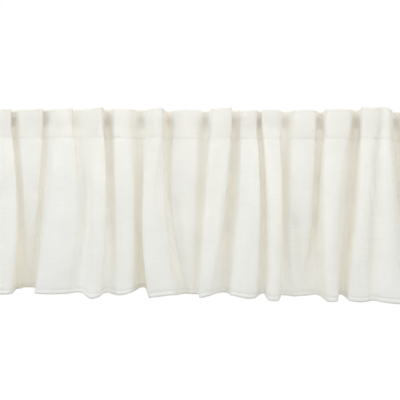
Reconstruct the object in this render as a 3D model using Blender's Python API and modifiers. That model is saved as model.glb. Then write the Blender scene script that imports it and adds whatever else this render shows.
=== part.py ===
# Window valance on a curtain rod: one wide panel of semi-sheer cloth with a heading tape behind its
# top, held in uneven soft folds by short tabs that pass behind the rod.
# Metres, +Z up. The rod's axis lies along X through the origin, and the cloth faces -Y.
import math
from typing import NamedTuple

import bmesh
import bpy
import numpy as np

MM = 0.001

# Rod, a plain straight tube with closed flat ends
ROD_RADIUS = 0.010
ROD_LENGTH = 1.400
ROD_SIDES = 24

# Cloth panel
DROP = 0.500
HEADING = 0.024           # how far the top edge stands above the rod's axis
CLOTH_THICKNESS = 0.0012
HEM_THICKNESS = 0.0020    # the bottom hem is folded twice
HEM_HEIGHT = 0.012
SIDE_HEM = 0.014          # flat strip before the first valley
SIDE_LIFT = 0.003         # how far that strip's edge comes forward
HEM_Z = HEADING - DROP

# Heading tape behind the cloth, and the tabs sewn on the tape
TAPE_THICKNESS = 0.0008
TAPE_INSET = 0.003        # the tape starts this far under the top edge
TAPE_BOTTOM_Z = -0.056
TAB_THICKNESS = 0.0010
TAB_WIDTH = 0.022
TAB_SEWN_FROM = 0.017     # a tab's ends are sewn down from here ...
TAB_SEWN_TO = 0.022       # ... to here, above and below the rod
TAB_ARC_STEPS = 8
TAB_SLACK = 0.0001
GAP = 0.0003              # between pieces that touch

# The cloth's middle surface where the tabs hold it, in front of the rod's axis
HELD_OUT = ROD_RADIUS + GAP + TAPE_THICKNESS + GAP + CLOTH_THICKNESS / 2
HELD_TO_Z = -0.026        # the heading hangs plumb down to here
MIDDLE_Z = -0.200

# How far the Gaussian rounding of the folds reaches along the cloth, at the rod and at the hem
ROUNDING_AT_ROD = 0.0065
ROUNDING_AT_HEM = 0.0075
ROUNDING_STEP = 0.001
CROWN = 0.08              # a ridge's middle stands out by this share of its width

ROW_HEIGHTS = (-0.095, -0.145, -0.200, -0.260, -0.325, -0.395)


class Cut(NamedTuple):
    """One fold cut level, in mm: x along the rod, depths in front of the line where tabs hold it."""
    valley: float
    valley_depth: float
    left: float
    right: float
    ridge_depth: float


class Fold(NamedTuple):
    """A valley and the ridge to its right, with how far the top edge rises over the valley."""
    kind: str
    rise: float
    rod: Cut
    middle: Cut
    hem: Cut


# Widths of a valley's floor in mm at the rod, the middle and the hem
VALLEY_WIDTHS = {"tab": (20, 14, 14), "dip": (20, 14, 14), "tuck": (4, 8, 12)}

# The folds from left to right. A tab's valley lies on the rod; a dip or a tuck has no tab. The
# last ridge is the flat side hem.
FOLDS = (
    Fold("tab", 0, Cut(-618, -0.1, -577, -517, 25), Cut(-622, -4, -576, -500, 29), Cut(-625, -20, -571, -507, 48)),
    Fold("tab", 0, Cut(-525, -0.4, -499, -431, 20), Cut(-512, -3, -491, -446, 13), Cut(-519, -22, -500, -486, -24)),
    Fold("tab", 3, Cut(-435, -0.3, -392, -348, 26), Cut(-445, -6, -408, -330, 36), Cut(-477, -24, -446, -355, 46)),
    Fold("dip", 2, Cut(-346, 8, -274, -260, 42), Cut(-321, 13, -282, -249, 48), Cut(-338, 30, -288, -262, 66)),
    Fold("tab", 4, Cut(-259, -0.5, -235, -190, 30), Cut(-250, 3, -231, -180, 31), Cut(-242, 28, -222, -182, 38)),
    Fold("tab", 3, Cut(-165, -0.5, -124, -99, 50), Cut(-168, -9, -152, -94, 44), Cut(-161, -28, -131, -62, 54)),
    Fold("tab", 0, Cut(-88, -0.5, -74, -4, 22), Cut(-88, 2, -84, -8, 17), Cut(-39, 8, -29, -13, 11)),
    Fold("tab", 0, Cut(14, -0.5, 30, 85, 48), Cut(9, -6, 16, 72, 46), Cut(-6, 6, 3, 28, 56)),
    Fold("tab", 3, Cut(87, -0.5, 108, 154, 20), Cut(78, -6, 108, 163, 32), Cut(74, 9, 86, 151, 50)),
    Fold("tab", 2, Cut(162, -0.5, 163, 212, 28), Cut(173, -1, 182, 220, 46), Cut(175, 12, 183, 211, 66)),
    Fold("tab", 0, Cut(231, -0.5, 254, 306, 30), Cut(227, -8, 242, 308, 19), Cut(238, 3, 262, 291, 11)),
    Fold("tab", 0, Cut(325, -0.5, 330, 393, 44), Cut(321, -9, 325, 369, 50), Cut(318, 6, 336, 363, 66)),
    Fold("tab", 6, Cut(423, -0.5, 422, 470, 46), Cut(413, -5, 416, 452, 55), Cut(390, 6, 392, 446, 66)),
    Fold("tuck", 6, Cut(474, 32, 482, 499, 42), Cut(458, 33, 476, 503, 53), Cut(450, 54, 463, 530, 74)),
    Fold("tab", 0, Cut(530, -0.5, 529, 585, 30), Cut(547, -4, 543, 594, 38), Cut(584, -2, 578, 609, 43)),
    Fold("tab", 0, Cut(623, -0.2, 641, 655, 4), Cut(635, -6, 651, 665, -2), Cut(657, -12, 671, 685, -8)),
)

# The uneven bottom edge: how far it is lifted at x, in mm
HEM_LIFTS = (
    (-640, -5), (-512, -5), (-505, -1), (-470, -1), (-446, -3), (-400, -2.5), (-350, -1.5),
    (-327, 2), (-308, 2), (-290, -7), (-278, -7.5), (-264, -3), (-255, 3), (-247, 2), (-236, -2),
    (-217, -4), (-200, -2), (-186, 3), (-153, 5), (-132, -8), (-120, -4), (-100, -1), (-80, 2),
    (-62, 2), (-48, -3.5), (0, -4), (13, -1), (26, 3), (45, 5), (62, 4), (80, 2), (95, 3),
    (110, 0), (135, -4.5), (151, -3), (165, 1), (178, 4), (184, -3), (205, -4.5), (212, -2),
    (222, 3), (232, -3), (262, -5.5), (291, -3), (318, 1), (330, 1), (337, -3.5), (360, -3),
    (368, 2), (388, 3), (396, -1), (420, -3), (446, -1), (463, 1), (480, -1), (513, -4), (700, -4),
)

# Where the mesh has columns along the floor of a valley, the flank up, the two halves of the ridge
# and the flank down, as shares of each stretch
COLUMN_SHARES = ((0, 0.3, 0.7), (0, 0.22, 0.78), (0, 0.35), (0, 0.65), (0, 0.22, 0.78))


def make_material(name, colour, roughness, metallic=0.0):
    material = bpy.data.materials.new(name)
    material.use_nodes = True
    shader = material.node_tree.nodes["Principled BSDF"]
    shader.inputs["Base Color"].default_value = (*colour, 1.0)
    shader.inputs["Roughness"].default_value = roughness
    shader.inputs["Metallic"].default_value = metallic
    return material


def add_object(name, bm, collection, material):
    """Turn a bmesh into a smooth-shaded object with one material."""
    mesh = bpy.data.meshes.new(name)
    bmesh.ops.recalc_face_normals(bm, faces=bm.faces)
    bm.to_mesh(mesh)
    bm.free()
    mesh.materials.append(material)
    mesh.shade_smooth()
    obj = bpy.data.objects.new(name, mesh)
    collection.objects.link(obj)
    return obj


def add_thickness(obj, thickness, group=None):
    solidify = obj.modifiers.new("Thickness", "SOLIDIFY")
    solidify.thickness = thickness
    solidify.offset = 0.0
    if group:
        solidify.vertex_group = group.name


def cut_weights(z):
    """How much the cuts at the rod, the middle and the hem count at height z: one parabola each."""
    z = min(z, HELD_TO_Z)
    heights = (HELD_TO_Z, MIDDLE_Z, HEM_Z)
    weights = []
    for own in heights:
        others = [height for height in heights if height != own]
        weights.append(math.prod((z - other) / (own - other) for other in others))
    return np.array(weights)


def section_corners(z):
    """The cloth's section at height z as straight stretches: corners as (x, y)."""
    weights = cut_weights(z)
    corners = []
    for fold in FOLDS:
        cuts = np.array([fold.rod, fold.middle, fold.hem])
        valley, valley_depth, left, right, ridge_depth = weights @ cuts * MM
        half_floor = weights @ np.array(VALLEY_WIDTHS[fold.kind]) * MM / 2
        if not corners:
            corners.append((valley - half_floor - SIDE_HEM, valley_depth + SIDE_LIFT))
        shoulder_depth = ridge_depth - CROWN * (right - left)
        corners += [
            (valley - half_floor, valley_depth),
            (valley + half_floor, valley_depth),
            (left, shoulder_depth),
            ((left + right) / 2, ridge_depth),
            (right, shoulder_depth),
        ]
    corners = np.array(corners)
    return np.column_stack((corners[:, 0], -HELD_OUT - corners[:, 1]))


def column_places(lengths):
    """Where the columns lie along a section, given the lengths of its stretches."""
    starts = np.concatenate(([0.0], np.cumsum(lengths)))
    places = []
    for number, length in enumerate(lengths):
        shares = COLUMN_SHARES[(number - 1) % len(COLUMN_SHARES)] if number else (0,)
        places += [starts[number] + share * length for share in shares]
    return np.array(places + [starts[-1]])


def along(corners, lengths, places):
    """Points of the straight stretches at the given places; past the ends they run straight on."""
    starts = np.concatenate(([0.0], np.cumsum(lengths)))
    points = np.column_stack([np.interp(places, starts, corners[:, axis]) for axis in (0, 1)])
    before = np.minimum(places, 0.0) / lengths[0]
    after = np.maximum(places - starts[-1], 0.0) / lengths[-1]
    points += np.outer(before, corners[1] - corners[0])
    points += np.outer(after, corners[-1] - corners[-2])
    return points


def cloth_section(z):
    """The cloth's middle line at height z, its corners rounded by a Gaussian along the cloth."""
    corners = section_corners(z)
    lengths = np.linalg.norm(np.diff(corners, axis=0), axis=1)
    share_down = min(max((HELD_TO_Z - z) / (HELD_TO_Z - HEM_Z), 0.0), 1.0)
    reach = ROUNDING_AT_ROD + share_down * (ROUNDING_AT_HEM - ROUNDING_AT_ROD)
    places = column_places(lengths)
    fine_places = np.arange(-4 * reach, lengths.sum() + 4 * reach, ROUNDING_STEP)
    blur = np.exp(-0.5 * ((places[:, None] - fine_places[None, :]) / reach) ** 2)
    blur /= blur.sum(axis=1, keepdims=True)
    return blur @ along(corners, lengths, fine_places)


def moved_back(section, distance):
    """The section moved towards the wall side of the cloth, each stretch by the same distance."""
    run = np.diff(section, axis=0)
    run /= np.linalg.norm(run, axis=1, keepdims=True)
    square = np.column_stack((-run[:, 1], run[:, 0]))
    before = np.vstack((square[:1], square))
    after = np.vstack((square, square[-1:]))
    mitre = (before + after) / (1 + (before * after).sum(axis=1, keepdims=True))
    return section + distance * mitre


def top_rises():
    """How far the top edge rises at each column, eased from valley to valley."""
    section = cloth_section(HELD_TO_Z)
    valleys = [fold.rod.valley * MM for fold in FOLDS]
    rises = [fold.rise * MM for fold in FOLDS]
    reach = 0.022
    spread = np.exp(-(((section[:, :1] - np.array(valleys)) / reach) ** 2))
    return spread @ np.array(rises)


def hem_lift(x, z):
    """How far the cloth is lifted at x and height z: nothing above the middle, most at the hem."""
    share = min(max((MIDDLE_Z - z) / (MIDDLE_Z - HEM_Z), 0.0), 1.0)
    xs, lifts = zip(*HEM_LIFTS)
    return share**2 * float(np.interp(x / MM, xs, lifts)) * MM


def hung_sheet(heights, back=0.0, top_extra=None):
    """A grid hung on the folds, one row of points for each height, top row first."""
    sections = [moved_back(cloth_section(z), back) for z in heights]
    columns = len(sections[0]) - 1
    rows = len(heights) - 1
    bm = bmesh.new()
    bmesh.ops.create_grid(bm, x_segments=columns, y_segments=rows, size=1.0)
    row_of = {}
    for vert in bm.verts:
        column = round((vert.co.x + 1) / 2 * columns)
        row = round((1 - vert.co.y) / 2 * rows)
        x, y = sections[row][column]
        rise = top_extra[column] if top_extra is not None and row == 0 else hem_lift(x, heights[row])
        vert.co = (x, y, heights[row] + rise)
        row_of[vert.index] = row
    return bm, row_of


def build_cloth(collection, material):
    hem_top = HEM_Z + HEM_HEIGHT
    heights = (HEADING, HELD_TO_Z, TAPE_BOTTOM_Z, *ROW_HEIGHTS, hem_top, HEM_Z)
    bm, row_of = hung_sheet(heights, top_extra=top_rises())
    cloth = add_object("valance_cloth", bm, collection, material)
    group = cloth.vertex_groups.new(name="thickness")
    hem_rows = len(heights) - 2
    for index, row in row_of.items():
        share = 1.0 if row >= hem_rows else CLOTH_THICKNESS / HEM_THICKNESS
        group.add([index], share, "REPLACE")
    add_thickness(cloth, HEM_THICKNESS, group)


def build_tape(collection, material):
    back = CLOTH_THICKNESS / 2 + GAP + TAPE_THICKNESS / 2
    heights = (HEADING - TAPE_INSET, HELD_TO_Z, TAPE_BOTTOM_Z)
    bm, _ = hung_sheet(heights, back=back)
    tape = add_object("heading_tape", bm, collection, material)
    add_thickness(tape, TAPE_THICKNESS)


def tab_path():
    """A tab's middle line as (y, z): sewn end, over the rod's back, sewn end."""
    front_y = -(ROD_RADIUS - TAB_THICKNESS / 2)
    radius = ROD_RADIUS + GAP + TAB_SLACK + TAB_THICKNESS / 2
    corner_angle = math.atan2(TAB_SEWN_FROM, front_y)
    touch = corner_angle - math.acos(radius / math.hypot(front_y, TAB_SEWN_FROM))
    arc = [touch - 2 * touch * step / TAB_ARC_STEPS for step in range(TAB_ARC_STEPS + 1)]
    over = [(radius * math.cos(angle), radius * math.sin(angle)) for angle in arc]
    upper = [(front_y, TAB_SEWN_TO), (front_y, TAB_SEWN_FROM)]
    lower = [(y, -z) for y, z in reversed(upper)]
    return upper + over + lower


def build_tab(number, middle_x, collection, material):
    """A strap from the tape over the back of the rod: one edge drawn down it, extruded sideways."""
    bm = bmesh.new()
    path = [bm.verts.new((middle_x - TAB_WIDTH / 2, y, z)) for y, z in tab_path()]
    edges = [bm.edges.new(pair) for pair in zip(path, path[1:])]
    grown = bmesh.ops.extrude_edge_only(bm, edges=edges)["geom"]
    side = [item for item in grown if isinstance(item, bmesh.types.BMVert)]
    bmesh.ops.translate(bm, verts=side, vec=(TAB_WIDTH, 0, 0))
    tab = add_object(f"tab_{number:02d}", bm, collection, material)
    add_thickness(tab, TAB_THICKNESS)


def build_rod(collection, material):
    bpy.ops.mesh.primitive_cylinder_add(
        vertices=ROD_SIDES, radius=ROD_RADIUS, depth=ROD_LENGTH,
        rotation=(0, math.pi / 2, 0))
    rod = bpy.context.object
    rod.name = "rod"
    rod.data.materials.append(material)
    rod.data.shade_smooth()
    rod.data.set_sharp_from_angle(angle=math.radians(40))
    for owner in rod.users_collection:
        owner.objects.unlink(rod)
    collection.objects.link(rod)


def main():
    for obj in list(bpy.data.objects):
        bpy.data.objects.remove(obj, do_unlink=True)
    collection = bpy.data.collections.new("window_valance")
    bpy.context.scene.collection.children.link(collection)

    linen = make_material("valance_linen", (0.82, 0.80, 0.75), 0.9)
    webbing = make_material("tape_cotton", (0.84, 0.83, 0.80), 0.85)
    metal = make_material("rod_metal", (0.55, 0.54, 0.52), 0.35, metallic=1.0)

    build_cloth(collection, linen)
    build_tape(collection, webbing)
    tab_valleys = [fold.rod.valley * MM for fold in FOLDS if fold.kind == "tab"]
    for number, valley in enumerate(tab_valleys, start=1):
        build_tab(number, valley, collection, webbing)
    build_rod(collection, metal)


main()
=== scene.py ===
# A short gathered window valance on a plain round rod, seen from the room.
# The folds repeat the sizes of the solid panel, so every sheet lies where its solid is.
import math
import bmesh
import bpy
import numpy as np
from mathutils import Matrix, Vector, noise


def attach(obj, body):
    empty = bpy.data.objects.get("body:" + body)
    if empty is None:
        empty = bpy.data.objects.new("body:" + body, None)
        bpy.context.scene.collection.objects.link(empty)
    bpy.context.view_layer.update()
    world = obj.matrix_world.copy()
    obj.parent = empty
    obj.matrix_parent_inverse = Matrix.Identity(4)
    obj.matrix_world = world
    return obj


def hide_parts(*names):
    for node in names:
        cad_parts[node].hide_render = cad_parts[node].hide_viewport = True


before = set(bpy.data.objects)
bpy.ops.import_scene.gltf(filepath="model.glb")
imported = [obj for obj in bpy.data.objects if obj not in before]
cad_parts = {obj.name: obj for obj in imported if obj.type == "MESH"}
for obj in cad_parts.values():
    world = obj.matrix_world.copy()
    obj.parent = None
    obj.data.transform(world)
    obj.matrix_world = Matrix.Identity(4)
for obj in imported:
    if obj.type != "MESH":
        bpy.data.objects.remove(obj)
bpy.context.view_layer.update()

mm = 0.001
scene = bpy.context.scene
scene.view_settings.view_transform = "Standard"
print("frame loaded:", len(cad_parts), "nodes")


# nodes

def addNode(tree, kind, **settings):
    node = tree.nodes.new(kind)
    for name, value in settings.items():
        setattr(node, name, value)
    return node


def feed(tree, socket, value):
    # links another node's output, or sets a plain value or colour
    if isinstance(value, bpy.types.NodeSocket):
        tree.links.new(value, socket)
    elif socket.type == "RGBA":
        socket.default_value = (*value, 1)
    else:
        socket.default_value = value


def mathNode(tree, operation, *values):
    node = addNode(tree, "ShaderNodeMath", operation=operation)
    for socket, value in zip(node.inputs, values):
        feed(tree, socket, value)
    return node.outputs[0]


def blended(tree, share, first, second, blend="MIX"):
    mix = addNode(tree, "ShaderNodeMix", data_type="RGBA", blend_type=blend)
    feed(tree, mix.inputs[0], share)
    feed(tree, mix.inputs[6], first)
    feed(tree, mix.inputs[7], second)
    return mix.outputs[2]


# camera and studio

cameraSet = {
    "sensor": 36,            # mm wide
    "lens": 37.08,           # mm
    "distance": 1.15,        # from the rod
    "side": 0.0361,
    "height": -0.1926,
    "turnLeft": 1.8,         # degrees
    "lookDown": 1.39,
    "roll": 0.6,
}

studioSet = {
    "backdrop": (1.02, 1.02, 1.02),      # what the camera sees behind the valance
    "lightFrom": (-0.15, -0.15, 0.95),   # soft light from all round, strongest from that side
    "lightNear": (0.832, 0.945, 1.09),
    "lightFar": (0.52, 0.45, 0.34),
    "floorDrop": 2.00,                   # floor below the rod
    "floorSize": 4.0,
    "floorColour": (0.86, 0.79, 0.69),
    "floorRoughness": 0.9,
    "lamps": [               # name, place, width, height, watts, aimed at, colour
        ("topStrip", (0.0, -0.55, 0.62), 2.0, 0.4, 6.6, (0.0, 0.0, -0.05), (0.97, 0.96, 0.92)),
        ("keySoftbox", (-2.2, -1.1, 1.1), 1.2, 1.0, 9, (0.0, 0.0, -0.05), (0.85, 0.94, 1.0)),
        ("fillSoftbox", (2.2, -1.6, 0.9), 1.0, 1.0, 3, (0.0, 0.0, -0.1), (0.85, 0.94, 1.0)),
    ],
    "diffuseBounces": 10,    # light goes back and forth in the folds
}


def makeCamera(values):
    data = bpy.data.cameras.new("photoCamera")
    data.sensor_width = values["sensor"]
    data.lens = values["lens"]
    camera = bpy.data.objects.new("photoCamera", data)
    scene.collection.objects.link(camera)
    turn = Matrix.Rotation(math.radians(values["turnLeft"]), 4, "Z")
    tilt = Matrix.Rotation(math.radians(90 - values["lookDown"]), 4, "X")
    roll = Matrix.Rotation(math.radians(values["roll"]), 4, "Z")
    place = Matrix.Translation((values["side"], -values["distance"], values["height"]))
    camera.matrix_world = place @ turn @ tilt @ roll
    scene.camera = camera


def makeWorld(values):
    world = bpy.data.worlds.new("paleStudio")
    scene.world = world
    world.use_nodes = True
    tree = world.node_tree
    direction = addNode(tree, "ShaderNodeTexCoord").outputs["Generated"]
    facing = addNode(tree, "ShaderNodeVectorMath", operation="DOT_PRODUCT")
    feed(tree, facing.inputs[0], direction)
    feed(tree, facing.inputs[1], Vector(values["lightFrom"]).normalized())
    around = addNode(tree, "ShaderNodeMapRange")
    feed(tree, around.inputs["From Min"], -1.0)      # the side away from the light
    feed(tree, around.inputs["Value"], facing.outputs["Value"])
    light = blended(tree, around.outputs[0], values["lightFar"], values["lightNear"])
    seen = addNode(tree, "ShaderNodeLightPath").outputs["Is Camera Ray"]
    shown = blended(tree, seen, light, values["backdrop"])
    feed(tree, tree.nodes["Background"].inputs["Color"], shown)
    scene.cycles.diffuse_bounces = values["diffuseBounces"]


def makeFloor(values):
    bm = bmesh.new()
    bmesh.ops.create_grid(bm, x_segments=1, y_segments=1, size=values["floorSize"] / 2)
    bmesh.ops.translate(bm, verts=bm.verts, vec=(0, 0, -values["floorDrop"]))
    mesh = bpy.data.meshes.new("studioFloor")
    bm.to_mesh(mesh)
    bm.free()
    floor = bpy.data.objects.new("studioFloor", mesh)
    scene.collection.objects.link(floor)
    material = bpy.data.materials.new("studioFloor")
    material.use_nodes = True
    shader = material.node_tree.nodes["Principled BSDF"]
    shader.inputs["Base Color"].default_value = (*values["floorColour"], 1)
    shader.inputs["Roughness"].default_value = values["floorRoughness"]
    mesh.materials.append(material)


def makeLamps(values):
    for name, place, width, height, watts, aim, colour in values["lamps"]:
        lamp = bpy.data.lights.new(name, "AREA")
        lamp.shape = "RECTANGLE"
        lamp.size = width
        lamp.size_y = height
        lamp.energy = watts
        lamp.color = colour
        box = bpy.data.objects.new(name, lamp)
        scene.collection.objects.link(box)
        box.location = place
        box.rotation_euler = (Vector(aim) - Vector(place)).to_track_quat("-Z", "Y").to_euler()


makeCamera(cameraSet)
makeWorld(studioSet)
makeFloor(studioSet)
makeLamps(studioSet)
print("camera and studio ready")


# folds of the panel

foldSet = {
    "drop": 500,             # all in mm
    "heading": 24,           # top edge above the rod's axis
    "heldOut": 12,           # cloth in front of the rod's axis where a tab holds it
    "heldTo": -26,           # the heading hangs plumb down to here
    "middle": -200,
    "sideHem": 14,
    "sideLift": 3,
    "crown": 0.08,           # a ridge's middle stands out by this share of its width
    "roundingAtRod": 6.5,
    "roundingAtHem": 7.5,
    "roundingStep": 1.0,
    "riseReach": 22,
    "valleyWidths": {"tab": (20, 14, 14), "dip": (20, 14, 14), "tuck": (4, 8, 12)},
    # columns of the mesh in a side hem, a valley, a flank up, two half ridges and a flank down
    "columns": (3, 4, 6, 6, 6, 6),
}
hemZ = foldSet["heading"] - foldSet["drop"]

# one row a fold: kind, rise of the top edge, then cuts at the rod, the middle and the hem, each with
# the valley's x, its depth, the ridge's left and right shoulder and the ridge's depth
folds = [
    ("tab", 0, (-618, -0.1, -577, -517, 25), (-622, -4, -576, -500, 29), (-625, -20, -571, -507, 48)),
    ("tab", 0, (-525, -0.4, -499, -431, 20), (-512, -3, -491, -446, 13), (-519, -22, -500, -486, -24)),
    ("tab", 3, (-435, -0.3, -392, -348, 26), (-445, -6, -408, -330, 36), (-477, -24, -446, -355, 46)),
    ("dip", 2, (-346, 8, -274, -260, 42), (-321, 13, -282, -249, 48), (-338, 30, -288, -262, 66)),
    ("tab", 4, (-259, -0.5, -235, -190, 30), (-250, 3, -231, -180, 31), (-242, 28, -222, -182, 38)),
    ("tab", 3, (-165, -0.5, -124, -99, 50), (-168, -9, -152, -94, 44), (-161, -28, -131, -62, 54)),
    ("tab", 0, (-88, -0.5, -74, -4, 22), (-88, 2, -84, -8, 17), (-39, 8, -29, -13, 11)),
    ("tab", 0, (14, -0.5, 30, 85, 48), (9, -6, 16, 72, 46), (-6, 6, 3, 28, 56)),
    ("tab", 3, (87, -0.5, 108, 154, 20), (78, -6, 108, 163, 32), (74, 9, 86, 151, 50)),
    ("tab", 2, (162, -0.5, 163, 212, 28), (173, -1, 182, 220, 46), (175, 12, 183, 211, 66)),
    ("tab", 0, (231, -0.5, 254, 306, 30), (227, -8, 242, 308, 19), (238, 3, 262, 291, 11)),
    ("tab", 0, (325, -0.5, 330, 393, 44), (321, -9, 325, 369, 50), (318, 6, 336, 363, 66)),
    ("tab", 6, (423, -0.5, 422, 470, 46), (413, -5, 416, 452, 55), (390, 6, 392, 446, 66)),
    ("tuck", 6, (474, 32, 482, 499, 42), (458, 33, 476, 503, 53), (450, 54, 463, 530, 74)),
    ("tab", 0, (530, -0.5, 535, 585, 30), (547, -4, 550, 594, 38), (584, -2, 580, 609, 43)),
    ("tab", 0, (623, -0.2, 641, 655, 4), (635, -6, 651, 665, -2), (657, -12, 671, 685, -8)),
]

# the uneven bottom edge: x, then how far it is lifted there
hemLifts = [
    (-640, -5), (-512, -5), (-505, -1), (-470, -1), (-446, -3), (-400, -2.5), (-350, -1.5),
    (-327, 2), (-308, 2), (-290, -7), (-278, -7.5), (-264, -3), (-255, 3), (-247, 2), (-236, -2),
    (-217, -4), (-200, -2), (-186, 3), (-153, 5), (-132, -8), (-120, -4), (-100, -1), (-80, 2),
    (-62, 2), (-48, -3.5), (0, -4), (13, -1), (26, 3), (45, 5), (62, 4), (80, 2), (95, 3),
    (110, 0), (135, -4.5), (151, -3), (165, 1), (178, 4), (184, -3), (205, -4.5), (212, -2),
    (222, 3), (232, -3), (262, -5.5), (291, -3), (318, 1), (330, 1), (337, -3.5), (360, -3),
    (368, 2), (388, 3), (396, -1), (420, -3), (446, -1), (463, 1), (480, -1), (513, -4), (700, -4),
]


def clamped(share):
    return min(max(share, 0), 1)


def bell(x):
    return np.exp(-(x ** 2))


def runsAlong(points):
    # how far along the line each point lies
    return np.concatenate(([0.0], np.cumsum(np.linalg.norm(np.diff(points, axis=0), axis=1))))


def cutWeights(z):
    # one parabola through the three cuts, held still above the tabs' lower ends
    z = min(z, foldSet["heldTo"])
    heights = (foldSet["heldTo"], foldSet["middle"], hemZ)
    weights = []
    for own in heights:
        others = [height for height in heights if height != own]
        weights.append(math.prod((z - other) / (own - other) for other in others))
    return np.array(weights)


def sectionCorners(z):
    # the panel cut level at height z, as straight stretches, in mm
    weights = cutWeights(z)
    corners = []
    for kind, rise, *cuts in folds:
        valley, valleyDepth, left, right, ridgeDepth = weights @ np.array(cuts)
        halfFloor = weights @ np.array(foldSet["valleyWidths"][kind]) / 2
        if not corners:
            corners.append((valley - halfFloor - foldSet["sideHem"], valleyDepth + foldSet["sideLift"]))
        shoulder = ridgeDepth - foldSet["crown"] * (right - left)
        corners += [(valley - halfFloor, valleyDepth), (valley + halfFloor, valleyDepth)]
        corners += [(left, shoulder), ((left + right) / 2, ridgeDepth), (right, shoulder)]
    corners = np.array(corners)
    return np.column_stack((corners[:, 0], -foldSet["heldOut"] - corners[:, 1]))


def columnPlaces(lengths):
    # where the columns lie along the section
    sideSteps, *steps = foldSet["columns"]
    starts = np.concatenate(([0.0], np.cumsum(lengths)))
    places = []
    for number, length in enumerate(lengths):
        count = steps[(number - 1) % len(steps)] if number else sideSteps
        places += [starts[number] + length * step / count for step in range(count)]
    return np.array(places + [starts[-1]])


def pointsAlong(corners, lengths, places):
    # the first and last stretch go straight on past their ends
    starts = np.concatenate(([0.0], np.cumsum(lengths)))
    points = np.column_stack([np.interp(places, starts, corners[:, axis]) for axis in (0, 1)])
    points += np.outer(np.minimum(places, 0) / lengths[0], corners[1] - corners[0])
    points += np.outer(np.maximum(places - starts[-1], 0) / lengths[-1], corners[-1] - corners[-2])
    return points


def panelSection(z):
    # the rounded section in metres, one point a column
    corners = sectionCorners(z)
    lengths = np.linalg.norm(np.diff(corners, axis=0), axis=1)
    shareDown = clamped((foldSet["heldTo"] - z) / (foldSet["heldTo"] - hemZ))
    reach = foldSet["roundingAtRod"] + shareDown * (foldSet["roundingAtHem"] - foldSet["roundingAtRod"])
    places = columnPlaces(lengths)
    tail = 4 * reach
    fine = np.arange(-tail, lengths.sum() + tail, foldSet["roundingStep"])
    blur = np.exp(-0.5 * ((places[:, None] - fine[None, :]) / reach) ** 2)
    blur /= blur.sum(axis=1, keepdims=True)
    return blur @ pointsAlong(corners, lengths, fine) * mm


sectionCache = {}


def cachedSection(z):
    key = round(z, 3)
    if key not in sectionCache:
        sectionCache[key] = panelSection(key)
    return sectionCache[key]


def topRises():
    section = cachedSection(0)
    valleys = np.array([cuts[0][0] for kind, rise, *cuts in folds]) * mm
    rises = np.array([rise for kind, rise, *cuts in folds]) * mm
    return bell((section[:, :1] - valleys) / (foldSet["riseReach"] * mm)) @ rises


def hungPoints(heights):
    # points of the hung panel, one row a height in mm
    rises = topRises()
    liftPlaces, lifts = zip(*hemLifts)
    rows = []
    for z in heights:
        section = cachedSection(z)
        shareUp = clamped(z / foldSet["heading"])
        shareDown = clamped((foldSet["middle"] - z) / (foldSet["middle"] - hemZ))
        hemLift = np.interp(section[:, 0] / mm, liftPlaces, lifts) * mm
        rows.append(np.column_stack((section, z * mm + rises * shareUp + shareDown ** 2 * hemLift)))
    return np.array(rows)


def normalsOf(points):
    # unit normals towards the room
    across = np.gradient(points, axis=1)
    down = np.gradient(points, axis=0)
    normals = np.cross(down, across)
    normals /= np.linalg.norm(normals, axis=2, keepdims=True)
    return normals


def softNoise(across, down, seed):
    flat = [noise.noise((a, d, seed)) for a, d in zip(across.ravel(), down.ravel())]
    return np.array(flat).reshape(across.shape)


# sheets

def gridInto(bm, layer, points, across, down):
    # a grid with a real-size UV map, moved onto the points
    rows, columns = points.shape[:2]
    made = bmesh.ops.create_grid(bm, x_segments=columns - 1, y_segments=rows - 1, size=1.0)
    places = {}
    for vert in made["verts"]:
        column = round((vert.co.x + 1) / 2 * (columns - 1))
        row = round((1 - vert.co.y) / 2 * (rows - 1))
        places[vert] = (row, column)
    for vert, place in places.items():
        vert.co = points[place]
    faces = {face for vert in made["verts"] for face in vert.link_faces}
    for face in faces:
        for loop in face.loops:
            place = places[loop.vert]
            loop[layer].uv = (across[place], down[place])


def pieceFromMesh(name, bm, material):
    mesh = bpy.data.meshes.new(name)
    bm.to_mesh(mesh)
    bm.free()
    mesh.shade_smooth()
    mesh.materials.append(material)
    piece = bpy.data.objects.new(name, mesh)
    scene.collection.objects.link(piece)
    return piece


def sheetFromPoints(name, grids, material, thickness):
    bm = bmesh.new()
    layer = bm.loops.layers.uv.new("clothMap")
    for points, across, down in grids:
        gridInto(bm, layer, points, across, down)
    piece = pieceFromMesh(name, bm, material)
    solidify = piece.modifiers.new("Thickness", "SOLIDIFY")
    solidify.thickness = thickness * mm
    solidify.offset = 0
    return piece


# materials

def newMaterial(name):
    material = bpy.data.materials.new(name)
    material.use_nodes = True
    tree = material.node_tree
    return material, tree, tree.nodes["Principled BSDF"], tree.nodes["Material Output"]


def stretchedNoise(tree, vector, scaleAcross, scaleDown, detail=2.0):
    mapping = addNode(tree, "ShaderNodeMapping")
    mapping.inputs["Scale"].default_value = (scaleAcross, scaleDown, 1)
    feed(tree, mapping.inputs["Vector"], vector)
    texture = addNode(tree, "ShaderNodeTexNoise", noise_dimensions="2D")
    feed(tree, texture.inputs["Scale"], 1.0)
    feed(tree, texture.inputs["Detail"], detail)
    feed(tree, texture.inputs["Vector"], mapping.outputs[0])
    return texture.outputs[0]


def threadWave(tree, vector, direction, pitch):
    # the node multiplies by 20, so one wave goes over one thread and under the next
    wave = addNode(tree, "ShaderNodeTexWave", wave_type="BANDS", bands_direction=direction)
    feed(tree, wave.inputs["Scale"], math.pi / (20 * pitch))
    feed(tree, wave.inputs["Distortion"], 0.0)
    feed(tree, wave.inputs["Vector"], vector)
    return wave.outputs[1]


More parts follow.
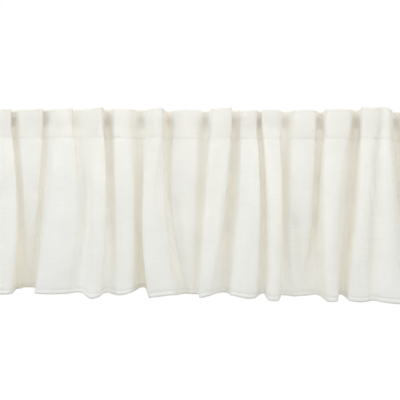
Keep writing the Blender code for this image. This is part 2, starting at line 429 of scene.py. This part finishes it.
def addRelief(tree, shader, height, strength, depth):
    bump = addNode(tree, "ShaderNodeBump")
    feed(tree, bump.inputs["Strength"], strength)
    feed(tree, bump.inputs["Distance"], depth * mm)
    feed(tree, bump.inputs["Height"], height)
    feed(tree, shader.inputs["Normal"], bump.outputs[0])


def letLightThrough(tree, shader, output, colour, share):
    behind = addNode(tree, "ShaderNodeBsdfTranslucent")
    feed(tree, behind.inputs["Color"], colour)
    mix = addNode(tree, "ShaderNodeMixShader")
    feed(tree, mix.inputs[0], share)
    feed(tree, mix.inputs[1], shader.outputs[0])
    feed(tree, mix.inputs[2], behind.outputs[0])
    feed(tree, output.inputs["Surface"], mix.outputs[0])


linenSet = {
    "reflected": (0.975, 0.967, 0.950),
    "transmitted": (0.985, 0.960, 0.900),
    "through": 0.55,         # share of the light that goes through one face
    "densityShare": 0.5,     # how much less goes through denser threads
    "roughness": 0.92,
    "specular": 0.2,
    "sheen": 0.15,
    "threadPitch": 0.0011,
    "threadHeight": 0.2,     # the weave's and the slubs' parts of the relief
    "slubHeight": 0.7,
    "reliefStrength": 0.5,
    "reliefDepth": 0.12,     # mm
    "slubLength": 0.045,
    "slubWidth": 0.0016,
    "slubDetail": 3.0,
    "slubTone": 0.088,
    "warpSlubs": 0.5,        # slubs down the cloth, as a share of those across it
    "cloudScale": (18, 12),
    "cloudTone": 0.05,
    "stitchShadowLines": [(0.488, 0.07), (0.077, 0.03)],     # v of a stitched line, and how much darker its painted shadow is
    "stitchShadowWidth": 0.0009,     # to each side of the line
    "hemLine": 0.488,        # v of the hem's stitches, and how much denser its layers are
    "hemDensity": 0.12,
    "paintedFoldShade": (1.0, 0.989, 0.960),     # painted shade: a warmer, darker colour deep in the folds
    "paintedShadeFrom": -0.036,      # y where the painted shade starts and where it is full
    "paintedShadeTo": 0.014,
}


def makeLinen(values):
    material, tree, shader, output = newMaterial("valanceLinen")
    uv = addNode(tree, "ShaderNodeUVMap", uv_map="clothMap").outputs[0]

    # slubs along both threads and soft clouds, as a density round one
    long, thin = 1 / values["slubLength"], 1 / values["slubWidth"]
    weft = stretchedNoise(tree, uv, long, thin, values["slubDetail"])
    warp = stretchedNoise(tree, uv, thin, long, values["slubDetail"])
    warp = mathNode(tree, "MULTIPLY", warp, values["warpSlubs"])
    warp = mathNode(tree, "ADD", warp, (1 - values["warpSlubs"]) / 2)
    slubs = mathNode(tree, "ADD", weft, warp)
    tone = mathNode(tree, "MULTIPLY", mathNode(tree, "SUBTRACT", slubs, 1.0), values["slubTone"])
    cloudy = mathNode(tree, "SUBTRACT", stretchedNoise(tree, uv, *values["cloudScale"]), 0.5)
    clouds = mathNode(tree, "MULTIPLY", cloudy, values["cloudTone"])
    density = mathNode(tree, "ADD", mathNode(tree, "ADD", tone, clouds), 1.0)

    # painted shadow along the stitched lines
    flatPlace = addNode(tree, "ShaderNodeSeparateXYZ")
    feed(tree, flatPlace.inputs[0], uv)
    v = flatPlace.outputs["Y"]
    for lineV, darker in values["stitchShadowLines"]:
        stitchShadow = mathNode(tree, "COMPARE", v, lineV, values["stitchShadowWidth"])
        density = mathNode(tree, "SUBTRACT", density, mathNode(tree, "MULTIPLY", stitchShadow, darker))

    # painted shade: warmer and darker deep in the folds, by how far back the cloth lies
    place = addNode(tree, "ShaderNodeSeparateXYZ")
    feed(tree, place.inputs[0], addNode(tree, "ShaderNodeTexCoord").outputs["Object"])
    paintedShadeMask = addNode(tree, "ShaderNodeMapRange", interpolation_type="SMOOTHSTEP")
    feed(tree, paintedShadeMask.inputs["From Min"], values["paintedShadeFrom"])
    feed(tree, paintedShadeMask.inputs["From Max"], values["paintedShadeTo"])
    feed(tree, paintedShadeMask.inputs["Value"], place.outputs["Y"])
    paintedShadeAndDensity = blended(tree, paintedShadeMask.outputs[0], (1, 1, 1), values["paintedFoldShade"])
    # the painted fold shade times the cloth's density
    paintedShadeAndDensity = blended(tree, 1.0, paintedShadeAndDensity, density, "MULTIPLY")
    reflected = blended(tree, 1.0, values["reflected"], paintedShadeAndDensity, "MULTIPLY")
    transmitted = blended(tree, 1.0, values["transmitted"], paintedShadeAndDensity, "MULTIPLY")
    feed(tree, shader.inputs["Base Color"], reflected)
    feed(tree, shader.inputs["Roughness"], values["roughness"])
    feed(tree, shader.inputs["Sheen Weight"], values["sheen"])
    feed(tree, shader.inputs["Specular IOR Level"], values["specular"])

    # threads and slubs in relief
    warpThreads = threadWave(tree, uv, "X", values["threadPitch"])
    weftThreads = threadWave(tree, uv, "Y", values["threadPitch"])
    threads = mathNode(tree, "ADD", warpThreads, weftThreads)
    weave = mathNode(tree, "MULTIPLY", threads, values["threadHeight"])
    height = mathNode(tree, "ADD", weave, mathNode(tree, "MULTIPLY", slubs, values["slubHeight"]))
    addRelief(tree, shader, height, values["reliefStrength"], values["reliefDepth"])

    # denser threads and the hem's layers let less light through
    held = mathNode(tree, "MULTIPLY", density, values["densityShare"])
    share = mathNode(tree, "SUBTRACT", values["through"] + values["densityShare"], held)
    hem = mathNode(tree, "GREATER_THAN", v, values["hemLine"])
    share = mathNode(tree, "SUBTRACT", share, mathNode(tree, "MULTIPLY", hem, values["hemDensity"]))
    letLightThrough(tree, shader, output, transmitted, share)
    return material


cottonSet = {
    # colour reflected, colour let through, share that goes through one face
    "band": ((0.98, 0.975, 0.96), (0.995, 0.985, 0.965), 0.96),
    "strap": ((0.93, 0.86, 0.75), (0.95, 0.87, 0.75), 0.60),
    "roughness": 0.85,
    "specular": 0.2,
    "ribPitch": 0.0016,
    "linePitch": 0.0024,
    "fleckScale": (60, 200),
    "fleckTone": 0.08,
    "reliefStrength": 0.4,
    "reliefDepth": 0.15,     # mm
}


def makeCotton(name, kind, values):
    material, tree, shader, output = newMaterial(name)
    reflected, transmitted, through = values[kind]
    uv = addNode(tree, "ShaderNodeUVMap", uv_map="clothMap").outputs[0]
    flecks = stretchedNoise(tree, uv, *values["fleckScale"])
    flecks = mathNode(tree, "MULTIPLY", flecks, values["fleckTone"])
    density = mathNode(tree, "ADD", flecks, 1 - values["fleckTone"] / 2)
    feed(tree, shader.inputs["Base Color"], blended(tree, 1.0, reflected, density, "MULTIPLY"))
    feed(tree, shader.inputs["Roughness"], values["roughness"])
    feed(tree, shader.inputs["Specular IOR Level"], values["specular"])
    ribs = threadWave(tree, uv, "X", values["ribPitch"])
    lines = threadWave(tree, uv, "Y", values["linePitch"])
    height = mathNode(tree, "ADD", ribs, lines)
    addRelief(tree, shader, height, values["reliefStrength"], values["reliefDepth"])
    letLightThrough(tree, shader, output, transmitted, through)
    return material


threadSet = {
    "colour": (0.975, 0.967, 0.950),
    "roughness": 0.7,
    "sheen": 0.3,
}


def makeThread(values):
    material, tree, shader, output = newMaterial("threadCotton")
    feed(tree, shader.inputs["Base Color"], values["colour"])
    feed(tree, shader.inputs["Roughness"], values["roughness"])
    feed(tree, shader.inputs["Sheen Weight"], values["sheen"])
    return material


rodFinishSet = {
    "colour": (0.42, 0.26, 0.12),        # a brown bronze finish
    "grainScale": (6, 900, 900),         # drawn along the rod
    "grainDetail": 3.0,
    "smoothest": 0.28,
    "roughest": 0.42,
    "reliefStrength": 0.2,
    "reliefDepth": 0.05,     # mm
}


def makeRodMetal(values):
    material, tree, shader, output = newMaterial("rodSatinSteel")
    mapping = addNode(tree, "ShaderNodeMapping")
    mapping.inputs["Scale"].default_value = values["grainScale"]
    feed(tree, mapping.inputs["Vector"], addNode(tree, "ShaderNodeTexCoord").outputs["Object"])
    grain = addNode(tree, "ShaderNodeTexNoise")
    feed(tree, grain.inputs["Scale"], 1.0)
    feed(tree, grain.inputs["Detail"], values["grainDetail"])
    feed(tree, grain.inputs["Vector"], mapping.outputs[0])
    roughness = addNode(tree, "ShaderNodeMapRange")
    feed(tree, roughness.inputs["To Min"], values["smoothest"])
    feed(tree, roughness.inputs["To Max"], values["roughest"])
    feed(tree, roughness.inputs["Value"], grain.outputs[0])
    feed(tree, shader.inputs["Roughness"], roughness.outputs[0])
    feed(tree, shader.inputs["Base Color"], values["colour"])
    feed(tree, shader.inputs["Metallic"], 1.0)
    addRelief(tree, shader, grain.outputs[0], values["reliefStrength"], values["reliefDepth"])
    return material


linen = makeLinen(linenSet)
tapeCotton = makeCotton("tapeCotton", "band", cottonSet)
strapCotton = makeCotton("strapCotton", "strap", cottonSet)
threadCotton = makeThread(threadSet)
rodMetal = makeRodMetal(rodFinishSet)
print("materials ready")


# panel

panelSet = {
    "rowPitch": 5.5,         # all in mm
    "rowBesideSeam": 2.2,
    "rowGap": 2.0,           # no even row closer than this to a seam's rows
    "thickness": 0.4,
    "hemHeight": 12.0,
    "hemLayers": 1.3,        # how far behind the front the hem's last layer lies
    "hemFullness": 0.7,
    "fullnessReach": 4.0,
    "hemSag": 0.4,           # the hem's folded edge under its last row
    "layerGap": 0.45,
    "topTurn": 10.0,         # cloth turned down behind the top edge
    "topSwell": 0.2,
    "turnRuns": (0.3, 0.6, 1.0),         # flat cloth at the top's edge, the hem's edge and its turn
    "sideTop": 12.0,         # the side hems' upper and lower ends
    "sideBottom": -475.0,
    "sideTurn": 0.3,
    # seams across the cloth: height, depth of the groove, reach of the puckers
    "seams": [(18.0, 0.35, 5.0), (-53.0, 0.70, 9.0), (-464.0, 0.85, 7.0)],
    "grooveWidth": 2.0,
    "puckerDepth": 0.35,
    "puckerAcross": 7.0,
    "puckerPlace": (0.35, 5.3),
    # small unevenness, less in the stiff heading
    "broadDepth": 0.9,
    "broadAcross": 55.0,
    "broadDown": 210.0,
    "broadSeed": 3.7,
    "fineDepth": 0.30,
    "fineAcross": 13.0,
    "fineDown": 80.0,
    "fineSeed": 9.1,
    "stiffTo": 50,
    "stiffFade": 60,
    "stiffShare": 0.15,
    # the ridges' edges stand out a little, as pressed pleats do
    "edgeRoll": 1.1,
    "rollColumns": 1.15,
    "rollFrom": 70,
    "rollFade": 50,
    "rollAtTop": 0.25,
    "creaseFade": 30,
}

# soft marks in the folds: x and z along each one, its half width and how far it stands out
creases = [
    ([(-542, -88), (-523, -165)], 5, 1.5),
    ([(-326, -90), (-318, -200), (-318, -330)], 9, -3.0),
    ([(-166, -90), (-166, -180)], 7, -2.0),
    ([(231, -90), (228, -180)], 7, -2.5),
    ([(-415, -66), (-400, -123), (-386, -186)], 4.5, 2.0),
    ([(-297, -88), (-281, -204), (-284, -332), (-270, -464)], 5.5, 2.5),
    ([(-192, -71), (-189, -221), (-192, -370)], 4.5, 1.8),
    ([(-106, -61), (-121, -192), (-95, -303), (-74, -407)], 5, 2.8),
    ([(-90, -230), (-78, -300), (-66, -380)], 6, 2.5),
    ([(-70, -240), (-54, -387), (-45, -470)], 17, -6.0),
    ([(67, -126), (51, -296), (42, -438)], 5.5, 2.5),
    ([(80, -214), (68, -448)], 7, -3.0),
    ([(108, -27), (112, -134), (105, -275), (88, -430)], 4.5, 1.8),
    ([(257, -286), (276, -470)], 13, -7.0),
    ([(323, -258), (287, -460)], 8, -5.5),
    ([(463, -68), (450, -194), (443, -420)], 5, -3.0),
    ([(452, -94), (478, -309)], 5.5, -2.5),
]


def unevenDepth(values, across, down):
    broad = softNoise(
        across / (values["broadAcross"] * mm), down / (values["broadDown"] * mm), values["broadSeed"])
    fine = softNoise(
        across / (values["fineAcross"] * mm), down / (values["fineDown"] * mm), values["fineSeed"])
    free = np.clip((down / mm - values["stiffTo"]) / values["stiffFade"], 0, 1)
    share = values["stiffShare"] + (1 - values["stiffShare"]) * free
    return (broad * values["broadDepth"] + fine * values["fineDepth"]) * share


def seamDepth(values, across, heights):
    # stitched grooves with small puckers beside them, and the fuller hem below its line
    heights = np.array(heights)[:, None]
    depth = np.zeros(across.shape)
    row, seed = values["puckerPlace"]
    puckers = softNoise(across / (values["puckerAcross"] * mm), np.full_like(across, row), seed)
    for z, groove, reach in values["seams"]:
        depth -= groove * bell((heights - z) / values["grooveWidth"])
        depth += values["puckerDepth"] * puckers * bell((heights - z) / reach)
    hemLine = values["seams"][-1][0]
    depth += values["hemFullness"] * np.clip((hemLine - heights) / values["fullnessReach"], 0, 1)
    return depth


def edgeDepth(values, down):
    # each ridge's left and right edge is always at the same column
    sideSteps, *steps = foldSet["columns"]
    columns = np.arange(down.shape[1])
    rolls = np.zeros(down.shape[1])
    for fold in range(len(folds)):
        start = sideSteps + fold * sum(steps)
        for edge in (start + sum(steps[:2]), start + sum(steps[:4])):
            rolls += bell((columns - edge) / values["rollColumns"])
    share = np.clip((down / mm - values["rollFrom"]) / values["rollFade"], values["rollAtTop"], 1)
    return values["edgeRoll"] * rolls * share


def creaseDepth(values, points, normals):
    depth = np.zeros(points.shape[:2])
    x, z = points[:, :, 0] / mm, points[:, :, 2] / mm
    facing = np.clip(-normals[:, :, 1], 0, 1)
    for marks, halfWidth, height in creases:
        xs, zs = np.array(marks[::-1], float).T
        middle = np.interp(z, zs, xs)
        below = np.clip((z - zs[0]) / values["creaseFade"] + 1, 0, 1)
        above = np.clip((zs[-1] - z) / values["creaseFade"] + 1, 0, 1)
        depth += height * below * above * facing * bell((x - middle) / halfWidth)
    return depth


def panelHeights(values):
    # even rows, with close ones at the seams
    top = foldSet["heading"]
    count = round((top - hemZ) / values["rowPitch"])
    even = [top + (hemZ - top) * step / count for step in range(count + 1)]
    beside = values["rowBesideSeam"]
    close = [z + step for z, groove, reach in values["seams"] for step in (-beside, 0, beside)]
    kept = [z for z in even if min(abs(z - other) for other in close) > values["rowGap"]]
    return sorted(kept + close, reverse=True)


def creasedPoints(values, heights):
    # the hung panel with its creases, seams and unevenness, and where each point lies on flat cloth
    points = hungPoints(heights)
    normals = normalsOf(points)
    steps = np.linalg.norm(np.diff(points, axis=1), axis=2).mean(axis=0)
    flatAcross = np.concatenate(([0.0], np.cumsum(steps)))
    across, down = np.meshgrid(flatAcross, [(foldSet["heading"] - z) * mm for z in heights])
    depth = unevenDepth(values, across, down) + seamDepth(values, across, heights)
    depth += creaseDepth(values, points, normals) + edgeDepth(values, down)
    return points + normals * depth[:, :, None] * mm, normals, across, down


def turnedCloth(values, heights, points, normals, across, down):
    # one grid: the cloth turned in behind the top edge, the front, and the hem turned up behind it
    topRows = [row for row, z in enumerate(heights) if z >= heights[0] - values["topTurn"]][::-1]
    hemRows = [row for row, z in enumerate(heights) if z <= heights[-1] + values["hemHeight"]][::-1]
    topBack = points[topRows] - normals[topRows] * values["layerGap"] * mm
    hemBack = points[hemRows] - normals[hemRows] * values["hemLayers"] * mm
    topEdge = points[:1] - normals[:1] * values["layerGap"] / 2 * mm
    topEdge[:, :, 2] += values["topSwell"] * mm
    hemEdge = points[-1:] - normals[-1:] * values["hemLayers"] / 2 * mm
    hemEdge[:, :, 2] -= values["hemSag"] * mm
    cloth = np.concatenate((topBack, topEdge, points, hemEdge, hemBack))
    topRun, hemRun, turnRun = (run * mm for run in values["turnRuns"])
    hemDown = 2 * down[-1] - down[hemRows] + turnRun
    clothDown = np.concatenate((-down[topRows], down[:1] - topRun, down, down[-1:] + hemRun, hemDown))
    return cloth, np.tile(across[0], (len(cloth), 1)), clothDown


def sideHems(values, heights, points, normals, down):
    # a narrow strip turned in behind each side edge, both laid from right to left
    rows = [row for row, z in enumerate(heights) if values["sideTop"] > z > values["sideBottom"]]
    width = foldSet["columns"][0]
    grids = []
    for columns in (list(range(width, -1, -1)), list(range(-width - 1, 0))):
        behind = normals[rows][:, columns] * values["layerGap"] * mm
        strip = points[rows][:, columns] - behind
        outward = strip[:, -1] - strip[:, -2]
        outward /= np.linalg.norm(outward, axis=1, keepdims=True)
        edge = points[rows][:, columns[-1]] - behind[:, -1] / 2 + outward * values["sideTurn"] * mm
        strip = np.concatenate((strip, edge[:, None]), axis=1)
        if columns[0] < 0:
            strip = strip[:, ::-1]
        flatAcross = np.linspace(0, foldSet["sideHem"] * mm, strip.shape[1])
        grids.append((strip, *np.meshgrid(flatAcross, down[rows, 0])))
    return grids


def makePanel(values):
    heights = panelHeights(values)
    points, normals, across, down = creasedPoints(values, heights)
    cloth = turnedCloth(values, heights, points, normals, across, down)
    grids = [cloth] + sideHems(values, heights, points, normals, down)
    panel = sheetFromPoints("hungPanel", grids, linen, values["thickness"])
    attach(panel, "root")
    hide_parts("valance_cloth")
    flatDrop = np.linalg.norm(np.diff(cloth[0], axis=0), axis=2).mean(axis=1).sum()
    return panel, points, normals, heights, across[0, -1], flatDrop


panel, panelPoints, panelNormals, panelRows, flatWidth, flatDrop = makePanel(panelSet)
print("panel hung:", len(panel.data.polygons), "faces, flat", round(flatWidth, 3), "by", round(flatDrop, 3))


# heading tape

tapeSet = {
    "top": 21,               # all in mm
    "bottom": -56,
    "rows": 16,
    "back": 1.3,             # behind the panel's middle
    "thickness": 0.6,
}


def makeTape(values):
    span = values["bottom"] - values["top"]
    heights = [values["top"] + span * step / values["rows"] for step in range(values["rows"] + 1)]
    points = hungPoints(heights)
    points = points - normalsOf(points) * values["back"] * mm
    flatAcross = runsAlong(cachedSection(0))
    across, down = np.meshgrid(flatAcross, [(values["top"] - z) * mm for z in heights])
    tape = sheetFromPoints("headingTape", [(points, across, down)], tapeCotton, values["thickness"])
    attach(tape, "root")
    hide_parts("heading_tape")
    return tape, flatAcross[-1]


tape, tapeLength = makeTape(tapeSet)
print("heading tape sewn behind the top")


# tabs

tabSet = {
    "width": 22.0,           # all in mm
    "thickness": 1.0,
    "rodRadius": 10.0,
    "gap": 0.4,
    "sewnFrom": 17.0,        # a tab's ends are sewn down from here to there, above and below the rod
    "sewnTo": 22.0,
    "arcSteps": 24,
    "crossSteps": 6,
}


def tabPath(values):
    # (y, z) in mm: sewn end, down over the back of the rod, sewn end
    front = -(values["rodRadius"] - values["thickness"] / 2)
    radius = values["rodRadius"] + values["gap"] + values["thickness"] / 2
    corner = math.atan2(values["sewnFrom"], front)
    touch = corner - math.acos(radius / math.hypot(front, values["sewnFrom"]))
    steps = values["arcSteps"]
    angles = [touch - 2 * touch * step / steps for step in range(steps + 1)]
    over = [(radius * math.cos(angle), radius * math.sin(angle)) for angle in angles]
    upper = [(front, values["sewnTo"]), (front, values["sewnFrom"])]
    return upper + over + [(y, -z) for y, z in reversed(upper)]


def makeTab(number, middle, values):
    path = tabPath(values)
    runs = runsAlong(np.array(path)) * mm
    steps = values["crossSteps"]
    left = middle - values["width"] / 2
    xs = [left + values["width"] * step / steps for step in range(steps + 1)]
    points = np.array([[(x * mm, y * mm, z * mm) for x in xs] for y, z in path])
    across, down = np.meshgrid([(x - left) * mm for x in xs], runs)
    grid = (points, across, down)
    tab = sheetFromPoints(f"backTab{number:02d}", [grid], strapCotton, values["thickness"])
    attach(tab, "root")
    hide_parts(f"tab_{number:02d}")
    return tab, runs[-1]


tabValleys = [cuts[0][0] for kind, rise, *cuts in folds if kind == "tab"]
for number, middle in enumerate(tabValleys, start=1):
    tab, tabLength = makeTab(number, middle, tabSet)


# rod

rodSet = {
    "radius": 10.0,          # all in mm
    "length": 1400.0,
    "sides": 64,
    "edge": 0.6,
    "edgeSteps": 3,
    "sharpAngle": 50,        # degrees
}


def makeRod(values):
    bm = bmesh.new()
    bmesh.ops.create_cone(
        bm, cap_ends=True, segments=values["sides"], radius1=values["radius"] * mm,
        radius2=values["radius"] * mm, depth=values["length"] * mm,
        matrix=Matrix.Rotation(math.pi / 2, 4, "Y"))
    caps = [face for face in bm.faces if len(face.verts) > 4]
    rims = list({edge for face in caps for edge in face.edges})
    bmesh.ops.bevel(
        bm, geom=rims, offset=values["edge"] * mm, affect="EDGES", segments=values["edgeSteps"],
        profile=0.5, material=-1)
    rod = pieceFromMesh("plainRod", bm, rodMetal)
    rod.data.set_sharp_from_angle(angle=math.radians(values["sharpAngle"]))
    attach(rod, "root")
    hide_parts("rod")


makeRod(rodSet)
print("rod ready")


# stitches

stitchSet = {
    "pitch": 4.2,            # all in mm
    "length": 2.9,
    "radius": 0.22,
    "endShare": 0.45,        # a stitch's ends are thinner than its middle
    "sides": 5,
    "firstAt": 0.5,
    "proud": 0.12,           # middle of the thread above the cloth
    "sideFrom": 12,          # upper and lower ends of the side hems' stitches
    "sideTo": -462,
    "weld": 0.01,
}


def oneStitch(values):
    # a short thread of unit length along z, made of two cones
    bm = bmesh.new()
    for half in (-1, 1):
        radii = (values["radius"] * values["endShare"], values["radius"])[::half]
        bmesh.ops.create_cone(
            bm, cap_ends=False, segments=values["sides"], radius1=radii[0], radius2=radii[1],
            depth=0.5, matrix=Matrix.Translation((0, 0, half * 0.25)))
    bm.verts.index_update()
    corners = np.array([vert.co[:] for vert in bm.verts])
    faces = np.array([[vert.index for vert in face.verts] for face in bm.faces])
    bm.free()
    return corners, faces


def stitchLine(points, outward, corners, values):
    # the stitch's corners, placed again and again along a line of points
    runs = runsAlong(points) / mm
    starts = np.arange(values["firstAt"], runs[-1] - values["length"], values["pitch"])
    low, high = [
        np.column_stack([np.interp(places, runs, points[:, axis]) for axis in range(3)])
        for places in (starts, starts + values["length"])]
    out = np.column_stack([np.interp(starts, runs, outward[:, axis]) for axis in range(3)])
    along = high - low
    side = np.cross(along, out)
    side /= np.linalg.norm(side, axis=1, keepdims=True)
    out = np.cross(side, along)
    out /= np.linalg.norm(out, axis=1, keepdims=True)
    middle = (low + high) / 2 + out * values["proud"] * mm
    placed = middle[:, None] + corners[None, :, :1] * side[:, None] * mm
    return placed - corners[None, :, 1:2] * out[:, None] * mm + corners[None, :, 2:] * along[:, None]


def rowAt(z):
    return min(range(len(panelRows)), key=lambda row: abs(panelRows[row] - z))


def seamPlaces(values):
    # points and outward directions of every stitched line: seams from both sides, then the side hems
    half = panelSet["thickness"] / 2
    behindHem = panelSet["hemLayers"] + half
    behindTape = tapeSet["back"] + tapeSet["thickness"] / 2
    hemLine = panelSet["seams"][-1][0]
    lines = []
    for z, groove, reach in panelSet["seams"]:
        behind = behindHem if z == hemLine else behindTape
        points, normals = panelPoints[rowAt(z)], panelNormals[rowAt(z)]
        lines.append((points + normals * half * mm, normals))
        lines.append((points - normals * behind * mm, -normals))
    inner = foldSet["columns"][0] - 1
    rows = slice(rowAt(values["sideFrom"]), rowAt(values["sideTo"]))
    for column in (inner, -inner - 1):
        points, normals = panelPoints[rows, column], panelNormals[rows, column]
        lines.append((points + normals * half * mm, normals))
    return lines


def makeStitches(values):
    corners, pattern = oneStitch(values)
    placed = np.concatenate([
        stitchLine(points, outward, corners, values) for points, outward in seamPlaces(values)])
    firsts = np.arange(len(placed)) * len(corners)
    faces = (firsts[:, None, None] + pattern[None]).reshape(-1, pattern.shape[1])
    mesh = bpy.data.meshes.new("seamStitches")
    mesh.from_pydata(placed.reshape(-1, 3).tolist(), [], faces.tolist())
    bm = bmesh.new()
    bm.from_mesh(mesh)
    bpy.data.meshes.remove(mesh)
    bmesh.ops.remove_doubles(bm, verts=bm.verts, dist=values["weld"] * mm)
    bmesh.ops.recalc_face_normals(bm, faces=bm.faces)
    stitches = pieceFromMesh("seamStitches", bm, threadCotton)
    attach(stitches, "root")
    return len(placed)


stitchCount = makeStitches(stitchSet)
print(stitchCount, "stitches sewn")
